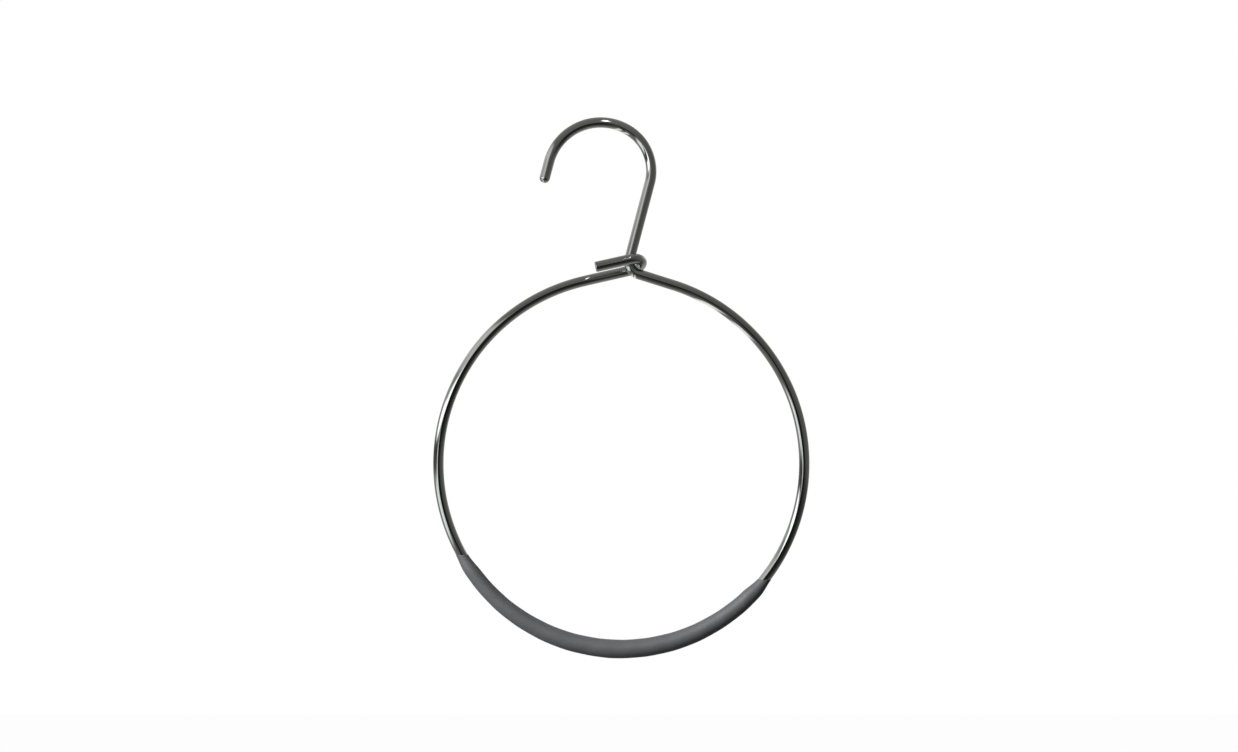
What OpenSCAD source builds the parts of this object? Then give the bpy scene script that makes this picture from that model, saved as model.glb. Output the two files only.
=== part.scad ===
// Scarf hanger: one chrome-plated steel wire, bent into an open hook, a shank and a ring, with
// its tail wound once round the foot of the shank, and a soft non-slip coat on the lower ring.
// Frame: the origin is where a rail bears, inside the crown of the hook. +X is to the right,
// +Y is away from the viewer and +Z is up. Lengths are in millimetres, angles in degrees.
// Every bend radius is that of the wire's centre line, unless its comment says otherwise.

/* [Wire] */
// Diameter of the wire
wire_d = 4; // [3:0.1:5]
// Rounding of the sheared edge at the end of the tail
cut_edge_r = 0.5; // [0.2:0.05:1]

/* [Hook] */
// Inside radius of the hook, where a rail sits
hook_inner_r = 18.3; // [14:0.1:24]
// Bend of the hook, from the heel to the straight tip
hook_sweep = 107; // [90:1:140]
// Straight length at the tip, before its rounded end
tip_len = 6.2; // [3:0.1:15]
// Bend radius of the heel, between the hook and the shank
heel_r = 18.1; // [10:0.1:24]
// Angle above level at which the heel runs into the hook
heel_angle = 58; // [5:1:80]
// Straight length of the shank
shank_len = 29.7; // [24:0.1:60]
// Lean of the shank from upright
shank_lean = 14.85; // [8:0.05:20]

/* [Ring] */
// Bend radius of the ring's left and right sides
side_r = 71.2; // [60:0.1:90]
// Bend radius of the ring's bottom
bottom_r = 69.1; // [58:0.1:88]
// Angle below level at which each side runs into the bottom
joint_angle = 37; // [25:1:50]
// Slope at which the left arm climbs to the neck
left_slope = 13.5; // [10:0.5:18]
// Slope at which the right arm falls away from the neck
right_slope = 17.5; // [14:0.5:20]

/* [Neck] */
// Distance from the ring's middle to the shank's corner, to the right
neck_x = 2.0; // [-3:0.1:5]
// Bend radius between the shank and the right arm
neck_r = 4.8; // [4:0.1:6]
// Angle that the tail is wound through, round the shank
turn_angle = 178; // [165:1:185]
// Half the width of that turn, along the left arm
turn_half_w = 4.4; // [4:0.1:6]
// Daylight between the turn and the shank, in front and behind
turn_slack = 0.9; // [0.6:0.1:2]
// Daylight between the turn and the shank's line, at the side
turn_side_slack = 1.35; // [1.1:0.1:2.5]
// Height of the tail above the left arm, measured between their centre lines
tail_rise = 4.1; // [3:0.1:6]
// Straight length of the tail past the shank
tail_len = 13.3; // [6:0.1:25]

/* [Coat] */
// Place of the coat's left end on the ring, counted from the right and over the top
coat_from = 208; // [200:1:235]
// Place of the coat's right end on the ring
coat_to = 323; // [300:1:335]
// Thickness at the lowest point of the ring, where the coat sagged before it set
coat_mid_t = 1.55; // [0.8:0.05:4]
// Thickness just inside the two ends
coat_end_t = 0.65; // [0.4:0.05:2]
// Length over which each end thins out onto the wire
coat_taper = 9; // [2:0.5:15]
// Thickness of the feathered edge itself
coat_lip = 0.15; // [0.1:0.05:0.4]
// Clearance between the coat's bore and the wire
coat_gap = 0.05; // [0.04:0.01:0.2]

/* [Hidden] */

wire_r = wire_d / 2;
sides = 24;       // flats round the wire and round the coat
ring_step = 3.5;  // degrees between two sections on the ring
hook_step = 6;    // degrees between two sections on the hook and its heel
neck_step = 9;    // degrees between two sections in the tight bends of the neck
dome_step = 18;   // degrees between two sections of a rounded end
arm_steps = 12;   // sections along the left arm

right = [1, 0, 0];
back = [0, 1, 0];
up = [0, 0, 1];

function unit(v) = v / norm(v);
function heading(a) = cos(a) * right + sin(a) * up;
function smooth(t) = let (c = min(1, max(0, t))) c * c * (3 - 2 * c);

// The ring. Its middle is [0, 0, 0] until everything moves into the hanger's own frame. Any point
// of it is named by the direction that faces outwards there, from right_end round to left_end.
right_end = 90 - right_slope;
left_end = -270 + left_slope;
shoulder = (side_r - bottom_r) * heading(-joint_angle);
side_x = -(side_r - bottom_r) * cos(joint_angle);
bottom_centre = [0, 0, shoulder[2]];

function on_bottom(a) = abs(a + 90) < 90 - joint_angle;
function side_centre(a) = (a > -90 ? 1 : -1) * side_x * right;
function ring_point(a) =
    on_bottom(a) ? bottom_centre + bottom_r * heading(a) : side_centre(a) + side_r * heading(a);

// The neck's corner is where the shank's line meets the right arm's line. The bend rounds it off.
arm_fall = heading(-right_slope);
arm_end = ring_point(right_end);
corner = arm_end - (arm_end[0] - neck_x) / arm_fall[0] * arm_fall;
shank_rise = heading(90 - shank_lean);
neck_turn = 90 - right_slope + shank_lean;
shank_foot = corner + neck_r * tan(neck_turn / 2) * shank_rise;
neck_centre = shank_foot + neck_r * heading(-shank_lean);

// The heel and the hook, each tangent to what comes before it.
hook_r = hook_inner_r + wire_r;
shank_top = shank_foot + shank_len * shank_rise;
heel_centre = shank_top - heel_r * heading(-shank_lean);
hook_centre = heel_centre - (hook_r - heel_r) * heading(heel_angle);
tip_angle = heel_angle + hook_sweep;
tip_dir = heading(tip_angle + 90);
tip_base = hook_centre + hook_r * heading(tip_angle);
rail_rest = hook_centre + hook_inner_r * up;

// The tail's turn round the shank is half an ellipse, flat in a plane that leans forward. It
// starts behind the shank, in line with the left arm, and ends in front of it, one rise higher.
arm_climb = heading(left_slope);
arm_up = heading(90 + left_slope);
arm_start = ring_point(left_end);
turn_depth = wire_d + turn_slack;
turn_across = tail_rise / 2 * arm_up - turn_depth * back;
mid_line = arm_start + tail_rise / 2 * arm_up;
shank_side = heading(-shank_lean);
to_shank = ((corner - mid_line) * shank_side) / (arm_climb * shank_side);
arm_len = to_shank + wire_d + turn_side_slack - turn_half_w;
turn_centre = mid_line + arm_len * arm_climb;
function turn_point(a) =
    turn_centre - cos(a) * turn_across + turn_half_w * sin(a) * arm_climb;
function turn_dir(a) = unit(sin(a) * turn_across + turn_half_w * cos(a) * arm_climb);
tail_start = turn_point(turn_angle);
tail_dir = turn_dir(turn_angle);

// A station of a tube is [point, direction, radius].
function steps(from, to, step) = ceil(abs(to - from) / step);
function bend(centre, r, from, to, step) =
    let (n = steps(from, to, step), way = to > from ? 1 : -1)
    [for (i = [0:n]) let (a = from + (to - from) * i / n)
        [centre + r * heading(a), way * heading(a + 90), wire_r]];
function ring_run(from, to) =
    let (n = steps(from, to, ring_step))
    [for (i = [0:n]) let (a = from + (to - from) * i / n) [ring_point(a), heading(a - 90), wire_r]];

// The left arm drifts back by turn_depth along half a cosine wave, to pass behind the shank.
function left_arm(n) =
    [for (i = [1:n - 1]) let (t = 180 * i / n)
        [arm_start + arm_len * i / n * arm_climb + turn_depth * (1 - cos(t)) / 2 * back,
         unit(arm_len * arm_climb + turn_depth * PI / 2 * sin(t) * back), wire_r]];
function turn_run(step) =
    let (n = steps(0, turn_angle, step))
    [for (i = [0:n]) let (a = turn_angle * i / n) [turn_point(a), turn_dir(a), wire_r]];

// A rounded tip, and a sheared end with a rounded edge.
tip_run = [for (a = [dome_step:dome_step:90])
    [tip_base + (tip_len + wire_r * cos(a)) * tip_dir, -tip_dir, wire_r * sin(a)]];
cut_run = [for (a = [0:30:90])
    [tail_start + (tail_len - cut_edge_r * (1 - sin(a))) * tail_dir, tail_dir,
     wire_r - cut_edge_r * (1 - cos(a))]];

wire_run = concat(
    tip_run,
    bend(hook_centre, hook_r, tip_angle, heel_angle, hook_step),
    bend(heel_centre, heel_r, heel_angle, -shank_lean, hook_step),
    bend(neck_centre, neck_r, 180 - shank_lean, 270 - right_slope, neck_step),
    ring_run(right_end, -joint_angle),
    ring_run(-joint_angle, -180 + joint_angle),
    ring_run(-180 + joint_angle, left_end),
    left_arm(arm_steps),
    turn_run(neck_step),
    cut_run
);

// The coat is thickest where the ring hangs lowest and feathers out at both ends.
coat_first = coat_to - 360;
coat_last = coat_from - 360;
coat_reach = max(coat_first + 90, -90 - coat_last);
function coat_ramp(a) =
    smooth(min(coat_first - a, a - coat_last) * PI / 180 * bottom_r / coat_taper);
function coat_t(a) =
    let (sag = max(0, cos(90 * (a + 90) / coat_reach)))
    coat_lip + coat_ramp(a) * (coat_end_t + (coat_mid_t - coat_end_t) * sag - coat_lip);
taper_angle = coat_taper / bottom_r * 180 / PI;
coat_angles = concat(
    [for (i = [0:6]) coat_first - taper_angle * i / 6],
    let (n = steps(coat_first - taper_angle, coat_last + taper_angle, ring_step))
    [for (i = [1:n - 1]) coat_first - taper_angle
        - (coat_first - coat_last - 2 * taper_angle) * i / n],
    [for (i = [6:-1:0]) coat_last + taper_angle * i / 6]
);
bore_r = wire_r + coat_gap;
coat_outside = [for (a = coat_angles) [ring_point(a), heading(a - 90), bore_r + coat_t(a)]];
coat_bore = [for (i = [len(coat_angles) - 1:-1:0]) let (a = coat_angles[i])
    [ring_point(a), heading(a - 90), bore_r]];

// Sections are square to the tube's run. Each keeps the last one's sense of "back" as nearly as
// it can, so that the flats don't twist. A station that repeats the one before it is left out.
function distinct(run) =
    [for (i = [0:len(run) - 1])
        if (i == 0 || norm(run[i][0] - run[i - 1][0]) > 0.001 || run[i][2] != run[i - 1][2]) run[i]];
function square_to(v, dir) = unit(v - (v * dir) * dir);
function senses(run) =
    [for (i = 0, v = square_to(back, run[0][1]); i < len(run);
        i = i + 1, v = i < len(run) ? square_to(v, run[i][1]) : v) v];
function section(station, v) =
    let (w = cross(station[1], v))
    [for (k = [0:sides - 1]) let (a = 360 * k / sides)
        station[0] + station[2] * (cos(a) * v + sin(a) * w)];
function band(i, j) =
    [for (k = [0:sides - 1]) let (m = (k + 1) % sides)
        each [[i * sides + k, j * sides + k, j * sides + m],
              [i * sides + k, j * sides + m, i * sides + m]]];

// A solid rod with flat ends.
module rod(run) {
    v = senses(run);
    n = len(run);
    polyhedron(
        points = [for (i = [0:n - 1]) each section(run[i], v[i])],
        faces = concat(
            [[for (k = [0:sides - 1]) k]],
            [for (i = [0:n - 2]) each band(i, i + 1)],
            [[for (k = [sides - 1:-1:0]) (n - 1) * sides + k]]
        )
    );
}

// A pipe: outside stations from end to end, then bore stations back to the start.
module pipe(outside, bore) {
    run = concat(outside, bore);
    n = len(run);
    polyhedron(
        points = [for (s = run) each section(s, back)],
        faces = [for (i = [0:n - 1]) each band(i, (i + 1) % n)]
    );
}

module bent_wire() {
    color([0.55, 0.55, 0.53])
    translate(-rail_rest)
    rod(distinct(wire_run));
}

module non_slip_coat() {
    color([0.32, 0.33, 0.34])
    translate(-rail_rest)
    pipe(coat_outside, coat_bore);
}

// The least gap between the wire and itself at the neck, measured on points of the centre line.
function line_points(from, dir, length, n) = [for (i = [0:n]) from + length * i / n * dir];
stem_points = concat(
    line_points(shank_foot, shank_rise, 12, 24),
    [for (s = bend(neck_centre, neck_r, 180 - shank_lean, 270 - right_slope, 3)) s[0]],
    line_points(arm_end, -arm_fall, (arm_end[0] - neck_x) / arm_fall[0]
        - neck_r * tan(neck_turn / 2), 24)
);
tail_points = line_points(tail_start, tail_dir, tail_len, 24);
arm_points = [for (s = left_arm(40)) s[0]];
turn_points = [for (s = turn_run(3)) s[0]];
function least(a, b) = min([for (p = a) min([for (q = b) norm(p - q)])]) - wire_d;
echo(turn_gap = least(stem_points, concat(turn_points, tail_points, arm_points)));
echo(tail_gap = least(tail_points, arm_points));
echo(ring_inside_width = 2 * (side_x + side_r) - wire_d);

bent_wire();
non_slip_coat();
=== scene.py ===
# Scarf hanger: a chromed wire hook, shank and ring, with a soft dipped coat on the lower ring.
import math
import bpy
import numpy as np
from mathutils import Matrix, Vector


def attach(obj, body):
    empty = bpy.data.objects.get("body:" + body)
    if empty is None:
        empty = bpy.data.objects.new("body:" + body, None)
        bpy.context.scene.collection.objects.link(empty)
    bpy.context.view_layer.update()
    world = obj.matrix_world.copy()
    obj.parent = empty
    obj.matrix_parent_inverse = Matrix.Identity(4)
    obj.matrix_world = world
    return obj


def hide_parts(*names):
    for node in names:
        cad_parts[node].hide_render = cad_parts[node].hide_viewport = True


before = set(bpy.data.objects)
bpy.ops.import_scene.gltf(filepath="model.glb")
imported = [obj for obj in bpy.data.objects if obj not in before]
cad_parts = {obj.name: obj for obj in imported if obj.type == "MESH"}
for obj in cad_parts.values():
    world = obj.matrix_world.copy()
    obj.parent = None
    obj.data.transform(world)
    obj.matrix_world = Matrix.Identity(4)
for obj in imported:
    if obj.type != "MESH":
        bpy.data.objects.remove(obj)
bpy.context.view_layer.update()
print("frame loaded:", ", ".join(sorted(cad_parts)))

back = np.array([0.0, 1.0, 0.0])
up = np.array([0.0, 0.0, 1.0])
perMetre = 1000  # millimetres
uvName = "alongAndRound"  # u runs along a piece in millimetres, v round it from 0 to 1


def linear(hexColour):  # sRGB hex to the linear values that the shaders take
    parts = [int(hexColour[i:i + 2], 16) / 255 for i in (1, 3, 5)]
    return [c / 12.92 if c <= 0.04045 else ((c + 0.055) / 1.055) ** 2.4 for c in parts] + [1.0]


def addNode(tree, kind, inputs=None, **settings):  # a value is set, a socket is linked
    node = tree.nodes.new(kind)
    for name, value in settings.items():
        setattr(node, name, value)
    for name, value in (inputs or {}).items():
        if isinstance(value, bpy.types.NodeSocket):
            tree.links.new(value, node.inputs[name])
        else:
            node.inputs[name].default_value = value
    return node


def emptyTree(owner):  # the node tree of a material or world, with nothing in it
    owner.use_nodes = True
    owner.node_tree.nodes.clear()
    return owner.node_tree


def heading(angle):  # unit vectors in the plane of the hanger, angles counted from +X towards +Z
    a = np.radians(np.asarray(angle, float))
    return np.stack([np.cos(a), 0 * a, np.sin(a)], -1)


def arc(centre, radius, start, end, count):  # centre + radius * heading(angle), the angle running evenly
    return centre + radius * heading(np.linspace(start, end, count))


def straight(start, end, count):  # start + t * (end - start), with t from 0 to 1
    return start + np.linspace(0, 1, count)[:, None] * (end - start)


# A tube's skin: point + radius * (cos v * side + sin v * across), side being "back" squared to the run.
def tubeSkin(points, run, radius, sides):
    side = back - (run @ back)[:, None] * run
    side /= np.linalg.norm(side, axis=1)[:, None]
    across = np.cross(run, side)
    v = 2 * np.pi * np.arange(sides) / sides
    spokes = np.cos(v)[None, :, None] * side[:, None] + np.sin(v)[None, :, None] * across[:, None]
    radius = np.broadcast_to(radius.reshape(len(points), -1), (len(points), sides))
    return points[:, None] + radius[:, :, None] * spokes


# Puts a grid of skin points into a mesh, in metres. Rows run along the piece and columns round it.
# Closed rows join the last row to the first; otherwise each end closes on a pole point.
def makePiece(name, skin, length, material, closedRows=False):
    rows, sides = skin.shape[:2]
    points = skin.reshape(-1, 3)
    i = np.arange(rows if closedRows else rows - 1)[:, None]
    j = np.arange(sides)[None, :]
    nextI, nextJ = (i + 1) % rows, (j + 1) % sides
    corners = [i * sides + j, i * sides + nextJ, nextI * sides + nextJ, nextI * sides + j]
    faces = np.stack(corners, -1).reshape(-1, 4).tolist()
    u0, u1 = length[i] + 0.0 * j, length[nextI] + 0.0 * j
    v0, v1 = j / sides + 0.0 * i, (j + 1) / sides + 0.0 * i
    uv = np.stack([u0, v0, u0, v1, u1, v1, u1, v0], -1).reshape(-1, 2)
    if not closedRows:
        k, nextK = np.arange(sides), (np.arange(sides) + 1) % sides
        firstPole, lastPole, lastRow = len(points), len(points) + 1, (rows - 1) * sides
        faces += np.stack([np.full(sides, firstPole), nextK, k], -1).tolist()
        faces += np.stack([np.full(sides, lastPole), lastRow + k, lastRow + nextK], -1).tolist()
        points = np.concatenate([points, [skin[0].mean(0), skin[-1].mean(0)]])
        v0, v1 = k / sides, (k + 1) / sides
        u0, u1 = np.full(sides, length[0]), np.full(sides, length[-1])
        firstUv = np.stack([u0, (v0 + v1) / 2, u0, v1, u0, v0], -1).reshape(-1, 2)
        lastUv = np.stack([u1, (v0 + v1) / 2, u1, v0, u1, v1], -1).reshape(-1, 2)
        uv = np.concatenate([uv, firstUv, lastUv])
    mesh = bpy.data.meshes.new(name)
    mesh.from_pydata((points / perMetre).tolist(), [], faces)
    mesh.uv_layers.new(name=uvName).data.foreach_set("uv", uv.ravel())
    mesh.polygons.foreach_set("use_smooth", [True] * len(mesh.polygons))
    mesh.materials.append(material)
    mesh.update()
    piece = bpy.data.objects.new(name, mesh)
    bpy.context.collection.objects.link(piece)
    return piece


# The wire, in millimetres and degrees, as on a drawing of the hanger. Bend radii are those of its centre
# line, but the hook's is its inside, where the rail bears. The skin is drawn a hair slimmer than the
# wire's radius, which places the bends.
wire = {
    "radius": 2.0, "skinRadius": 1.98, "sides": 64, "cutEdge": 0.5,
    "hookInner": 18.3, "hookSweep": 107, "tipLength": 6.2,
    "heelRadius": 18.1, "heelAngle": 58, "shankLength": 29.7, "shankLean": 14.85,
    "sideRadius": 71.2, "bottomRadius": 69.1, "jointAngle": 37, "leftSlope": 13.5, "rightSlope": 17.5,
    "neckX": 2.0, "neckRadius": 4.8,
    "turnAngle": 178, "turnHalfWidth": 4.4, "turnSlack": 0.9, "turnSideSlack": 1.35,
    "tailRise": 3.8, "tailLength": 13.3,
    # how many points each run of the centre line has
    "points": {"tip": 14, "hook": 90, "heel": 62, "shank": 40, "corner": 60, "rightArm": 24, "side": 110,
               "bottom": 100, "leftArm": 90, "turn": 110, "tail": 20},
    # first, last and number of the rings that close each end
    "tipRings": (6, 84, 14),       # degrees round the tip's ball
    "edgeRings": (10, 90, 8),      # degrees round the sheared edge
    "faceRings": (0.97, 0.12, 8),  # shares of the flat of the cut
    "plate": {
        "tints": ("#bdbdb8", "#c9c9c5"), "roughness": (0.04, 0.1),
        "hazePerMetre": 260.0, "hazeSpan": (0.35, 0.75),
        "marksPerMillimetre": 0.06, "marksPerTurn": 42.0, "markStrength": 0.1, "markDepth": 0.00004,
    },
}


# Where the centres of the ring's right side, left side and bottom are, from the ring's middle.
def ringCentres(w):
    shift = w["sideRadius"] - w["bottomRadius"]
    side = shift * math.cos(math.radians(w["jointAngle"]))
    drop = shift * math.sin(math.radians(w["jointAngle"]))
    return np.array([-side, 0, 0]), np.array([side, 0, 0]), -drop * up


# The wire's whole centre line, from the tip to the cut end: arcs and straights laid end to end.
# The ring's middle is [0, 0, 0] here, and the line is moved so that the rail bears at the origin.
def centreLine(w):
    lean, slope = heading(-w["shankLean"]), heading(-w["rightSlope"])
    rise = heading(90 - w["shankLean"])
    rightSide, leftSide, bottom = ringCentres(w)
    rightEnd, leftEnd = 90 - w["rightSlope"], -270 + w["leftSlope"]
    armEnd = rightSide + w["sideRadius"] * heading(rightEnd)
    armStart = leftSide + w["sideRadius"] * heading(leftEnd)
    corner = armEnd - (armEnd[0] - w["neckX"]) / slope[0] * slope
    cornerReach = w["neckRadius"] * math.tan(math.radians(90 - w["rightSlope"] + w["shankLean"]) / 2)
    foot = corner + cornerReach * rise
    neckCentre = foot + w["neckRadius"] * lean
    shankTop = foot + w["shankLength"] * rise
    heelCentre = shankTop - w["heelRadius"] * lean
    hookRadius = w["hookInner"] + w["radius"]
    hookCentre = heelCentre - (hookRadius - w["heelRadius"]) * heading(w["heelAngle"])
    tipAngle = w["heelAngle"] + w["hookSweep"]
    tipBase = hookCentre + hookRadius * heading(tipAngle)
    rest = hookCentre + w["hookInner"] * up

    # The left arm sinks behind the shank on half a cosine wave. The turn is half an ellipse from there
    # to the front: turnCentre - cos a * across + turnHalfWidth * sin a * climb.
    climb, armUp = heading(w["leftSlope"]), heading(90 + w["leftSlope"])
    depth = 2 * w["radius"] + w["turnSlack"]
    across = w["tailRise"] / 2 * armUp - depth * back
    middle = armStart + w["tailRise"] / 2 * armUp
    toShank = (corner - middle) @ lean / (climb @ lean)
    armLength = toShank + 2 * w["radius"] + w["turnSideSlack"] - w["turnHalfWidth"]
    turnCentre = middle + armLength * climb
    count = w["points"]
    t = np.linspace(0, 1, count["leftArm"])[:, None]
    leftArm = armStart + armLength * t * climb + depth * (1 - np.cos(np.pi * t)) / 2 * back
    a = np.radians(np.linspace(0, w["turnAngle"], count["turn"]))[:, None]
    turn = turnCentre - np.cos(a) * across + w["turnHalfWidth"] * np.sin(a) * climb
    tailRun = np.sin(a[-1]) * across + w["turnHalfWidth"] * np.cos(a[-1]) * climb
    tailRun /= np.linalg.norm(tailRun)
    tailEnd = turn[-1] + (w["tailLength"] - w["cutEdge"]) * tailRun

    runs = [
        straight(tipBase + w["tipLength"] * heading(tipAngle + 90), tipBase, count["tip"]),
        arc(hookCentre, hookRadius, tipAngle, w["heelAngle"], count["hook"]),
        arc(heelCentre, w["heelRadius"], w["heelAngle"], -w["shankLean"], count["heel"]),
        straight(shankTop, foot, count["shank"]),
        arc(neckCentre, w["neckRadius"], 180 - w["shankLean"], 270 - w["rightSlope"], count["corner"]),
        straight(corner + cornerReach * slope, armEnd, count["rightArm"]),
        arc(rightSide, w["sideRadius"], rightEnd, -w["jointAngle"], count["side"]),
        arc(bottom, w["bottomRadius"], -w["jointAngle"], -180 + w["jointAngle"], count["bottom"]),
        arc(leftSide, w["sideRadius"], -180 + w["jointAngle"], leftEnd, count["side"]),
        leftArm, turn, straight(turn[-1], tailEnd, count["tail"]),
    ]
    line = np.concatenate([runs[0]] + [run[1:] for run in runs[1:]])
    return line - rest, rest


# Bright chromium plate over drawn steel wire: a hard mirror, very slightly warm, with faint lengthwise
# marks left by the drawing die under the plate, and a little haze from handling in spots of 4 mm.
def chromePlate(p):
    material = bpy.data.materials.new("bright chromium plate on drawn steel")
    tree = emptyTree(material)
    uv = addNode(tree, "ShaderNodeUVMap", uv_map=uvName)
    lengthwise = addNode(tree, "ShaderNodeMapping", {
        "Vector": uv.outputs["UV"], "Scale": (p["marksPerMillimetre"], p["marksPerTurn"], 1.0)})
    dieMarks = addNode(tree, "ShaderNodeTexNoise", {
        "Vector": lengthwise.outputs["Vector"], "Scale": 1.0, "Detail": 3.0})
    place = addNode(tree, "ShaderNodeTexCoord")
    haze = addNode(tree, "ShaderNodeTexNoise", {
        "Vector": place.outputs["Object"], "Scale": p["hazePerMetre"], "Detail": 4.0})
    roughness = addNode(tree, "ShaderNodeMapRange", {
        "Value": haze.outputs["Fac"], "From Min": p["hazeSpan"][0], "From Max": p["hazeSpan"][1],
        "To Min": p["roughness"][0], "To Max": p["roughness"][1]})
    marks = addNode(tree, "ShaderNodeBump", {
        "Height": dieMarks.outputs["Fac"], "Strength": p["markStrength"], "Distance": p["markDepth"]})
    tint = addNode(tree, "ShaderNodeMix", {
        0: haze.outputs["Fac"], 6: linear(p["tints"][0]), 7: linear(p["tints"][1])}, data_type="RGBA")
    shader = addNode(tree, "ShaderNodeBsdfPrincipled", {
        "Base Color": tint.outputs[2], "Metallic": 1.0,
        "Roughness": roughness.outputs["Result"], "Normal": marks.outputs["Normal"]})
    addNode(tree, "ShaderNodeOutputMaterial", {"Surface": shader.outputs["BSDF"]})
    return material


# The wire: the centre line's tube, with a half-round tip and a sheared end with a rounded edge.
# Both ends are arcs of a circle in (distance along, radius): the tip's has the wire's own radius.
def bendWire(w):
    line, rest = centreLine(w)
    length = np.concatenate([[0], np.cumsum(np.linalg.norm(np.diff(line, axis=0), axis=1))])
    run = np.gradient(line, length, axis=0)
    run /= np.linalg.norm(run, axis=1)[:, None]
    r, edge = w["skinRadius"], w["cutEdge"]
    tip, rim = np.radians(np.linspace(*w["tipRings"])), np.radians(np.linspace(*w["edgeRings"]))
    face = np.linspace(*w["faceRings"]) * (r - edge)
    along = np.concatenate([-r * np.cos(tip), 0 * length, edge * np.sin(rim), np.full(len(face), edge)])
    radius = np.concatenate([r * np.sin(tip), np.full(len(line), r), r - edge * (1 - np.cos(rim)), face])
    index = np.concatenate([
        np.zeros(len(tip), int), np.arange(len(line)), np.full(len(rim) + len(face), len(line) - 1)])
    points = line[index] + along[:, None] * run[index]
    skin = tubeSkin(points, run[index], radius, w["sides"])
    piece = makePiece("wireForm", skin, length[index] + along, chromePlate(w["plate"]))
    return piece, rest


wireForm, railRest = bendWire(wire)
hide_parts("bent_wire")
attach(wireForm, "root")
print("wire bent:", len(wireForm.data.polygons), "faces")

# The coat, in millimetres, and in degrees round the ring, counted from +X towards +Z. It is thickest in
# the middle, thins towards its ends, and feathers out to a lip over the taper.
coat = {
    "first": -38.2, "last": -150.9, "firstSlant": 1.3, "lastSlant": 0.78,
    "bore": 2.02, "middle": 1.5, "ends": 0.65, "lip": 0.07,  # a radius, then thicknesses
    "taper": 8.0, "taperPower": 1.5, "sagReach": 62.0,
    "dripAngle": -94.0, "drip": 0.12, "dripLength": 2.6, "dripPower": 1.5,
    "wave": 0.03, "wavePitch": 0.31, "waveStart": 1.0, "waveTurn": 0.7,
    "winding": 0.02, "windingPitch": 0.77, "windingTwist": 2,
    "sides": 96, "stations": 420, "crowding": 0.06,  # draws the stations to the middle and the edges
    "skin": {
        "shades": ("#565758", "#5f6061"), "speck": (0.96, 1.04), "roughness": (0.54, 0.66), "ior": 1.53,
        "grainPerMetre": 2500.0, "grainSpan": (0.3, 0.7), "grainStrength": 0.15, "grainDepth": 0.00004,
        "runsPerMetre": 160.0, "runStrength": 0.3, "runDepth": 0.0004,
    },
}


# Plasticised vinyl, hot-dipped and air-cured: a matte grey skin that shines softly where it faces the
# light, with a very fine grain, drawn 0.4 mm across so that it shows, and soft unevenness about 6 mm
# long where it ran.
def dippedVinyl(p):
    material = bpy.data.materials.new("matte dipped vinyl")
    tree = emptyTree(material)
    place = addNode(tree, "ShaderNodeTexCoord")
    grain = addNode(tree, "ShaderNodeTexNoise", {
        "Vector": place.outputs["Object"], "Scale": p["grainPerMetre"], "Detail": 2.0})
    runs = addNode(tree, "ShaderNodeTexNoise", {
        "Vector": place.outputs["Object"], "Scale": p["runsPerMetre"], "Detail": 3.0})
    shade = addNode(tree, "ShaderNodeMix", {
        0: runs.outputs["Fac"], 6: linear(p["shades"][0]), 7: linear(p["shades"][1])}, data_type="RGBA")
    speck = addNode(tree, "ShaderNodeMapRange", {
        "Value": grain.outputs["Fac"], "From Min": p["grainSpan"][0], "From Max": p["grainSpan"][1],
        "To Min": p["speck"][0], "To Max": p["speck"][1]})
    colour = addNode(tree, "ShaderNodeVectorMath", {
        0: shade.outputs[2], "Scale": speck.outputs["Result"]}, operation="SCALE")
    roughness = addNode(tree, "ShaderNodeMapRange", {
        "Value": grain.outputs["Fac"], "From Min": p["grainSpan"][0], "From Max": p["grainSpan"][1],
        "To Min": p["roughness"][0], "To Max": p["roughness"][1]})
    soft = addNode(tree, "ShaderNodeBump", {
        "Height": runs.outputs["Fac"], "Strength": p["runStrength"], "Distance": p["runDepth"]})
    skin = addNode(tree, "ShaderNodeBump", {
        "Height": grain.outputs["Fac"], "Strength": p["grainStrength"], "Distance": p["grainDepth"],
        "Normal": soft.outputs["Normal"]})
    shader = addNode(tree, "ShaderNodeBsdfPrincipled", {
        "Base Color": colour.outputs["Vector"], "Roughness": roughness.outputs["Result"],
        "Normal": skin.outputs["Normal"], "IOR": p["ior"]})
    addNode(tree, "ShaderNodeOutputMaterial", {"Surface": shader.outputs["BSDF"]})
    return material


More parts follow.
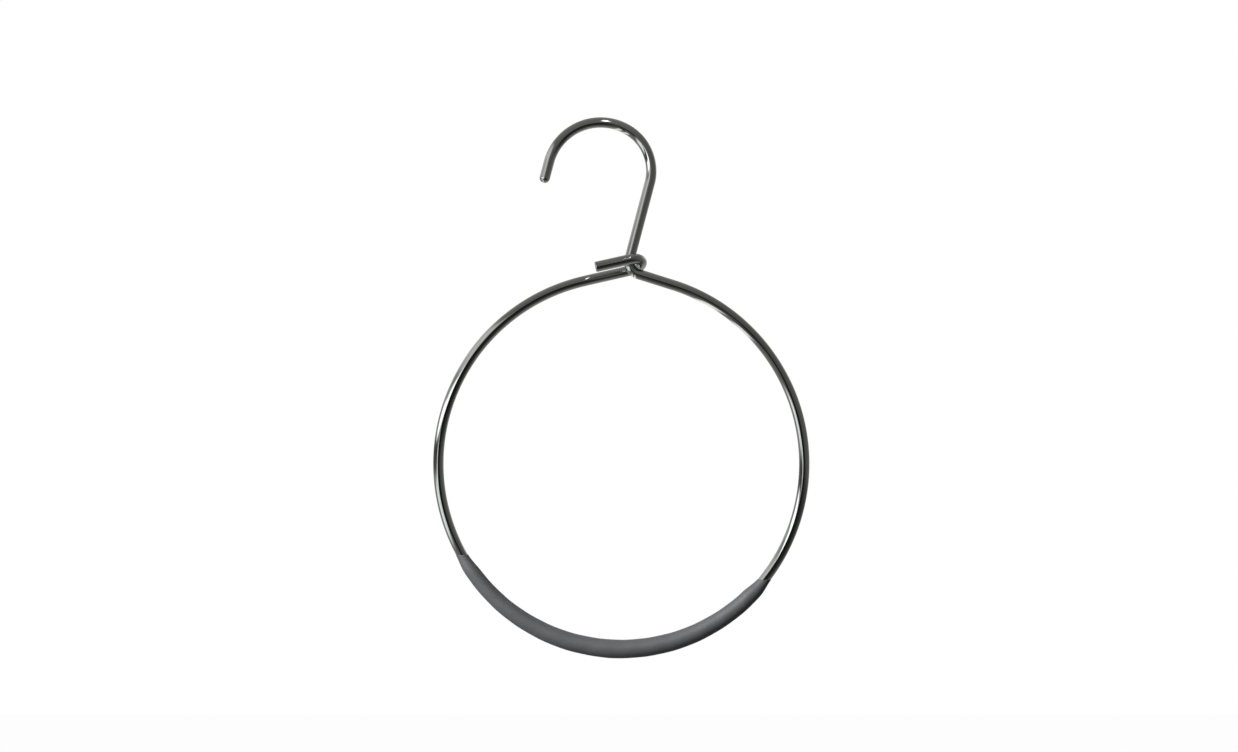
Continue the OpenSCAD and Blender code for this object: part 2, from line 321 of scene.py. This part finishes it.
# The coat: a closed pipe on the ring's bottom, its skin at ring + outer * (cos v * back + sin v * outwards).
# Its thickness is lip + ramp * (ends + (middle - ends) * sag - lip). Sag is a cosine that is 1 at the
# lowest point, and ramp is a power of a sine that rises from 0 at each edge. A drip, a slow wave along the
# ring and a shorter one that winds round it are added on top.
# Both edges slant, because the vinyl crept further along the outside of the ring than along its inside.
def dipCoat(c, w, rest):
    rightSide, leftSide, bottom = ringCentres(w)
    s = np.linspace(0, 1, c["stations"])[:, None]
    s = s - c["crowding"] * np.sin(4 * np.pi * s) / (2 * np.pi)
    v = 2 * np.pi * np.arange(c["sides"])[None, :] / c["sides"]
    first = c["first"] + c["firstSlant"] * np.sin(v)
    last = c["last"] - c["lastSlant"] * np.sin(v)
    angle = first + (last - first) * s
    onBottom = (np.abs(angle + 90) < 90 - w["jointAngle"])[..., None]
    side = np.where((angle > -90)[..., None], rightSide, leftSide)
    outwards = heading(angle)
    ring = np.where(onBottom, bottom + w["bottomRadius"] * outwards, side + w["sideRadius"] * outwards) - rest
    spoke = np.cos(v)[..., None] * back + np.sin(v)[..., None] * outwards
    perDegree = math.radians(w["bottomRadius"])  # millimetres along the ring
    ease = np.clip(np.minimum(first - angle, angle - last) * perDegree / c["taper"], 0, 1)
    ramp = np.sin(np.pi / 2 * ease) ** c["taperPower"]
    sag = np.maximum(0, np.cos(np.pi / 2 * (angle + 90) / c["sagReach"]))
    thick = c["lip"] + ramp * (c["ends"] + (c["middle"] - c["ends"]) * sag - c["lip"])
    under = np.clip(-spoke[..., 2], 0, 1)  # 1 where the skin faces the floor
    offset = (angle - c["dripAngle"]) * perDegree / c["dripLength"]
    hang = c["drip"] * np.exp(-np.abs(offset) ** c["dripPower"]) * under ** 2
    wave = c["wave"] * np.sin(c["wavePitch"] * angle + c["waveStart"]) * np.cos(v + c["waveTurn"])
    winding = c["winding"] * np.sin(c["windingPitch"] * angle + c["windingTwist"] * np.sin(v))
    outer = c["bore"] + thick + ramp * (hang + wave + winding)
    skinOut = ring + outer[..., None] * spoke
    skinIn = (ring + c["bore"] * spoke)[::-1]
    along = (c["first"] - c["last"]) * s[:, 0] * perDegree
    skin = np.concatenate([skinOut, skinIn])
    length = np.concatenate([along, along[::-1]])
    return makePiece("dippedCoat", skin, length, dippedVinyl(c["skin"]), closedRows=True)


dippedCoat = dipCoat(coat, wire, railRest)
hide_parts("non_slip_coat")
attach(dippedCoat, "root")
print("coat dipped:", len(dippedCoat.data.polygons), "faces")

# The studio, in metres: the hanger hangs a metre above a pale floor. A grey tent, seen only in mirrors, glows
# with painted reflections of a dark room for the chrome to show, and soft lamps light the coat.
studio = {
    "aim": (0.00699, 0.0, -0.09435), "cameraDistance": 1.1108, "lens": 85.0, "sensor": 36.0, "farthest": 50,
    "floorHeight": -1.15, "floorSize": 16.0, "floorColour": "#f2f2f0", "floorWhite": 0.98,
    "roomLight": 0.06, "roomColour": "#f7f5f2",
    "keyPlace": (-0.62, -0.52, 0.26), "keySize": 0.4, "keyPower": 13.5, "keyColour": "#fafcff",
    "backPlace": (0.5, 0.9, 0.6), "backSize": 0.8, "backPower": 8.0, "backColour": "#ffffff",
}


def paleFor(tree, base, share):  # white to camera, glossy and transmission rays, by the given share
    path = addNode(tree, "ShaderNodeLightPath")
    seen = path.outputs["Is Camera Ray"]
    for ray in ("Is Glossy Ray", "Is Transmission Ray"):
        either = addNode(tree, "ShaderNodeMath", {0: seen, 1: path.outputs[ray]}, operation="MAXIMUM")
        seen = either.outputs[0]
    amount = addNode(tree, "ShaderNodeMath", {0: seen, 1: share}, operation="MULTIPLY")
    kind = "ShaderNodeBackground" if base.bl_idname == "ShaderNodeBackground" else "ShaderNodeEmission"
    white = addNode(tree, kind, {"Color": linear("#ffffff"), "Strength": 1.0})
    return addNode(tree, "ShaderNodeMixShader", {
        0: amount.outputs[0], 1: base.outputs[0], 2: white.outputs[0]})


def stageObject(name, mesh, material):
    mesh.materials.append(material)
    thing = bpy.data.objects.new(name, mesh)
    bpy.context.collection.objects.link(thing)
    return thing


floorMaterial = bpy.data.materials.new("pale studio floor")
tree = emptyTree(floorMaterial)
matte = addNode(tree, "ShaderNodeBsdfDiffuse", {"Color": linear(studio["floorColour"])})
pale = paleFor(tree, matte, studio["floorWhite"])
addNode(tree, "ShaderNodeOutputMaterial", {"Surface": pale.outputs[0]})
half, level = studio["floorSize"] / 2, studio["floorHeight"]
floorCorners = [(-half, -half, level), (half, -half, level), (half, half, level), (-half, half, level)]
floorMesh = bpy.data.meshes.new("floor")
floorMesh.from_pydata(floorCorners, [], [(0, 1, 2, 3)])
stageObject("floor", floorMesh, floorMaterial)

world = bpy.data.worlds.new("studio room")
bpy.context.scene.world = world
tree = emptyTree(world)
room = addNode(tree, "ShaderNodeBackground", {
    "Color": linear(studio["roomColour"]), "Strength": studio["roomLight"]})
addNode(tree, "ShaderNodeOutputWorld", {"Surface": paleFor(tree, room, 1.0).outputs[0]})

# The tent is a polar grid about the line from the hanger to the camera. A direction is named by where a
# small mirror ball shows it: "out" is its distance from the ball's middle, 0 to 1, and "clock" its angle.
# The room's things are painted into its glow as soft-edged patches, painted shade where dark and painted
# light where bright, each named after what would cast it: middle, half width and slant in degrees of clock,
# the two values of out between which one appears, the two between which it ends, and how dark it is, or how
# bright and in what colour.
tent = {
    "radius": 0.5, "rings": 120, "columns": 720,
    "grey": 0.165, "farGrey": 0.3, "farPower": 4, "tint": "#fffffd",
    # painted shade in the reflections, each patch named after what would cast it
    "dark": [
        (250, 125, 0, -1, -0.5, 0.12, 0.26, 0.82),  # the camera and its stand
        (5, 60, 0, -1, -0.5, 0.8, 1.0, 0.35),       # the unlit wall on the right
        (292, 50, 0, -1, -0.5, 0.38, 0.75, 0.78),   # the dark floor in front
        (203, 13, 0, -1, -0.5, 0.22, 0.36, 0.8),    # the sill of the left window
        (183, 5, 0, 0.25, 0.4, 0.9, 1.0, 0.6),      # the post between its two panes
        (234, 4, 10, -1, -0.5, 0.5, 0.6, 0.6),      # a leg of the table
        (335, 14, 0, 0.1, 0.3, 0.75, 0.9, 0.45),    # a doorway
    ],
    # painted light in the reflections, each patch named after what would cast it
    "bright": [
        (87, 2.4, -8, 0.27, 0.31, 0.4, 0.52, 4.5, "#ffffff"),     # a strip lamp above the camera
        (146, 9.5, 0, 0.3, 0.5, 0.8, 0.95, 0.5, "#f2f8ff"),       # a pale curtain
        (159, 8, 0, 0.1, 0.2, 0.9, 1.1, 0.24, "#f2f8ff"),         # the pale wall beside the left window
        (169.5, 8.5, 0, 0.12, 0.2, 0.45, 0.55, 2.2, "#f4faff"),   # the window's upper pane
        (172, 6, 0, 0.4, 0.5, 0.56, 0.78, 2.0, "#f4faff"),        # the same pane, towards its outer edge
        (200, 10, 0, 0.24, 0.34, 0.54, 0.76, 1.4, "#eef6fc"),     # its lower pane
        (191, 7, 0, 0.14, 0.2, 0.27, 0.34, 0.9, "#eef6fc"),       # light on the sill
        (228, 3.5, 10, 0.5, 0.65, 0.95, 1.05, 1.0, "#ffffff"),    # the near edge of a pale table
        (240, 3.5, 10, 0.45, 0.6, 0.95, 1.05, 1.1, "#ffffff"),    # its far edge
        (32, 14, 0, 0.8, 0.9, 1.0, 1.1, 0.3, "#ffffff"),          # light along the ceiling
        (147, 11.5, 0, 0.04, 0.36, 0.38, 0.62, 0.65, "#fffffd"),  # the lit wall behind the camera
    ],
    "shading": [  # darkens what is bright as well
        (175, 42, 0, 0.37, 0.41, 0.43, 0.47, 0.65),  # a glazing bar
        (156, 6, 0, 0.44, 0.52, 0.74, 0.84, 0.32),   # a fold of the curtain
    ],
}
out = np.sin(np.linspace(0.0, np.pi / 2, tent["rings"]))[:, None]
clock = np.linspace(0, 360, tent["columns"], endpoint=False)[None, :]


def rampUp(value, low, high):  # 3 t^2 - 2 t^3, with t from 0 at low to 1 at high
    t = np.clip((value - low) / (high - low), 0, 1)
    return t * t * (3 - 2 * t)


def patch(middle, width, slant, start, full, fade, end):  # exp(-turn^6) across, a ramp at both ends
    turn = ((clock - middle - slant * (out - 0.5) + 180) % 360 - 180) / width
    return (np.exp(-turn ** 6) * rampUp(out, start, full) * (1 - rampUp(out, fade, end)))[..., None]


def paintTentReflections(t):  # the painted reflections' glow at each point of the tent, as linear colours
    glow = (t["grey"] + t["farGrey"] * out ** t["farPower"] + 0 * clock)[..., None]
    for *place, depth in t["dark"]:
        glow = glow * (1 - depth * patch(*place))
    glow = glow * np.array(linear(t["tint"]))
    for *place, strength, colour in t["bright"]:
        glow = glow + strength * patch(*place) * np.array(linear(colour))
    for *place, depth in t["shading"]:
        glow = glow * (1 - depth * patch(*place))
    return glow


# The tent's points: aim + radius * (sin p * cos c, -cos p, sin p * sin c), p being twice the arc sine of
# out, because a mirror turns a ray by twice its own slope, and c the clock.
def pitchTent(t, aim):
    polar, c = 2 * np.arcsin(out), np.radians(clock)
    direction = np.stack([np.sin(polar) * np.cos(c), -np.cos(polar) + 0 * c, np.sin(polar) * np.sin(c)], -1)
    points = t["radius"] * direction.reshape(-1, 3) + aim
    i, j = np.arange(t["rings"] - 1)[:, None], np.arange(t["columns"])[None, :]
    row, nextRow, nextJ = i * t["columns"], (i + 1) * t["columns"], (j + 1) % t["columns"]
    faces = np.stack([row + j, nextRow + j, nextRow + nextJ, row + nextJ], -1)
    mesh = bpy.data.meshes.new("tent")
    mesh.from_pydata(points.tolist(), [], faces.reshape(-1, 4).tolist())
    glow = mesh.color_attributes.new("glow", "FLOAT_COLOR", "POINT")
    glow.data.foreach_set("color", paintTentReflections(t).ravel())
    # Its emission is the painted reflections, seen only by mirrors.
    material = bpy.data.materials.new("tent of painted reflections")
    tree = emptyTree(material)
    painted = addNode(tree, "ShaderNodeAttribute", attribute_name="glow")
    glowing = addNode(tree, "ShaderNodeEmission", {"Color": painted.outputs["Color"], "Strength": 1.0})
    addNode(tree, "ShaderNodeOutputMaterial", {"Surface": glowing.outputs[0]})
    shell = stageObject("tent", mesh, material)
    for ray in ("camera", "diffuse", "transmission", "shadow", "volume_scatter"):  # only mirrors show it
        setattr(shell, "visible_" + ray, False)


pitchTent(tent, studio["aim"])


def addLamp(name, place, size, power, colour, onlyFor=None):  # a square soft box; the chrome mirrors none
    light = bpy.data.lights.new(name, "AREA")
    light.shape, light.size, light.size_y = "RECTANGLE", size, size
    light.energy, light.color = power, linear(colour)[:3]
    lamp = bpy.data.objects.new(name, light)
    lamp.location = place
    lamp.rotation_euler = (Vector(studio["aim"]) - Vector(place)).to_track_quat("-Z", "Y").to_euler()
    lamp.visible_glossy = onlyFor is not None
    bpy.context.collection.objects.link(lamp)
    if onlyFor:
        lamp.light_linking.receiver_collection = onlyFor


# The left lamp lights the coat alone, so that its skin can shine without a lamp showing in the chrome.
coatOnly = bpy.data.collections.new("coat only")
coatOnly.objects.link(dippedCoat)
addLamp("softLeft", studio["keyPlace"], studio["keySize"], studio["keyPower"], studio["keyColour"], coatOnly)
addLamp("softBack", studio["backPlace"], studio["backSize"], studio["backPower"], studio["backColour"])

camera = bpy.data.objects.new("camera", bpy.data.cameras.new("camera"))
camera.data.lens = studio["lens"]
camera.data.sensor_width = studio["sensor"]
camera.data.clip_end = studio["farthest"]
camera.location = Vector(studio["aim"]) - Vector((0, studio["cameraDistance"], 0))
camera.rotation_euler = (math.radians(90), 0, 0)
bpy.context.collection.objects.link(camera)
bpy.context.scene.camera = camera
bpy.context.scene.view_settings.view_transform = "Standard"
print("studio set")
